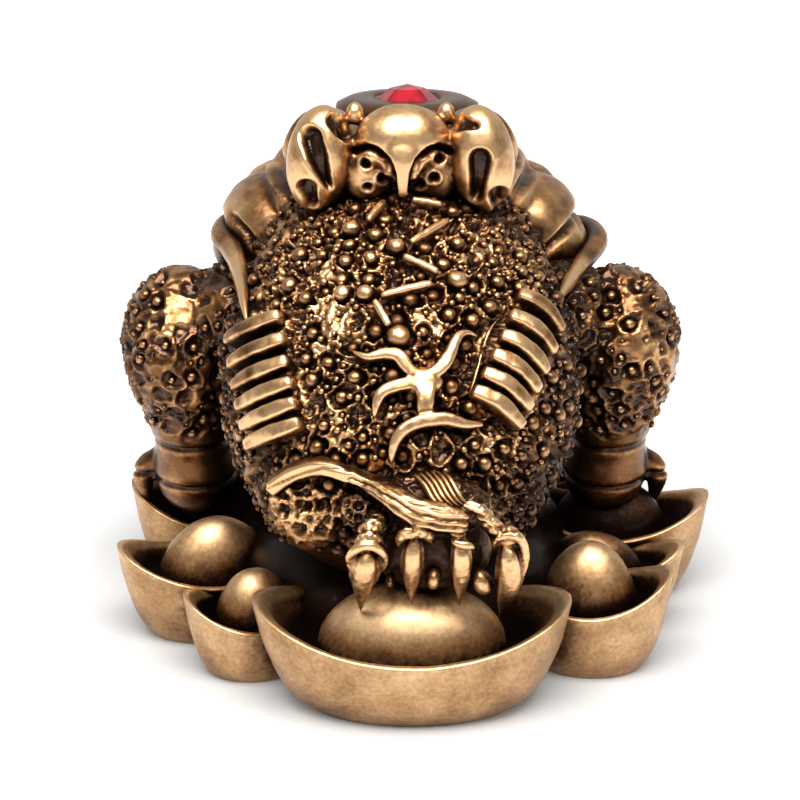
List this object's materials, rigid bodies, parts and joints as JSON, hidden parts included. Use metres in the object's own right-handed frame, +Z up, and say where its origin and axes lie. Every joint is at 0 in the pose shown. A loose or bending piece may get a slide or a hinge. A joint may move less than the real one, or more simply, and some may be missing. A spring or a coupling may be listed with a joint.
{
  "type": "money toad figure",
  "caption": "Crouching money toad on a ring of boat-shaped ingots, with a coin in its mouth and red stones set in its head.",
  "frame": {"origin": "under the middle of the whole figure's box, on the surface that it stands on", "axes": "+Z up, +Y the way that the toad looks, +X to its right"},
  "size_m": [0.082, 0.088, 0.0728],
  "materials": {
    "antique_bronze": "cold-cast resin with bronze powder, dark patina in the hollows, worn bright on the high places, clear lacquer",
    "red_glass": "cut and polished red glass, backed so that it looks solid"
  },
  "bodies": {
    "root": {"toad_on_ingots": "antique_bronze", "crown_stone": "red_glass", "eye_stone_left": "red_glass", "eye_stone_right": "red_glass"}
  },
  "joints": []
}
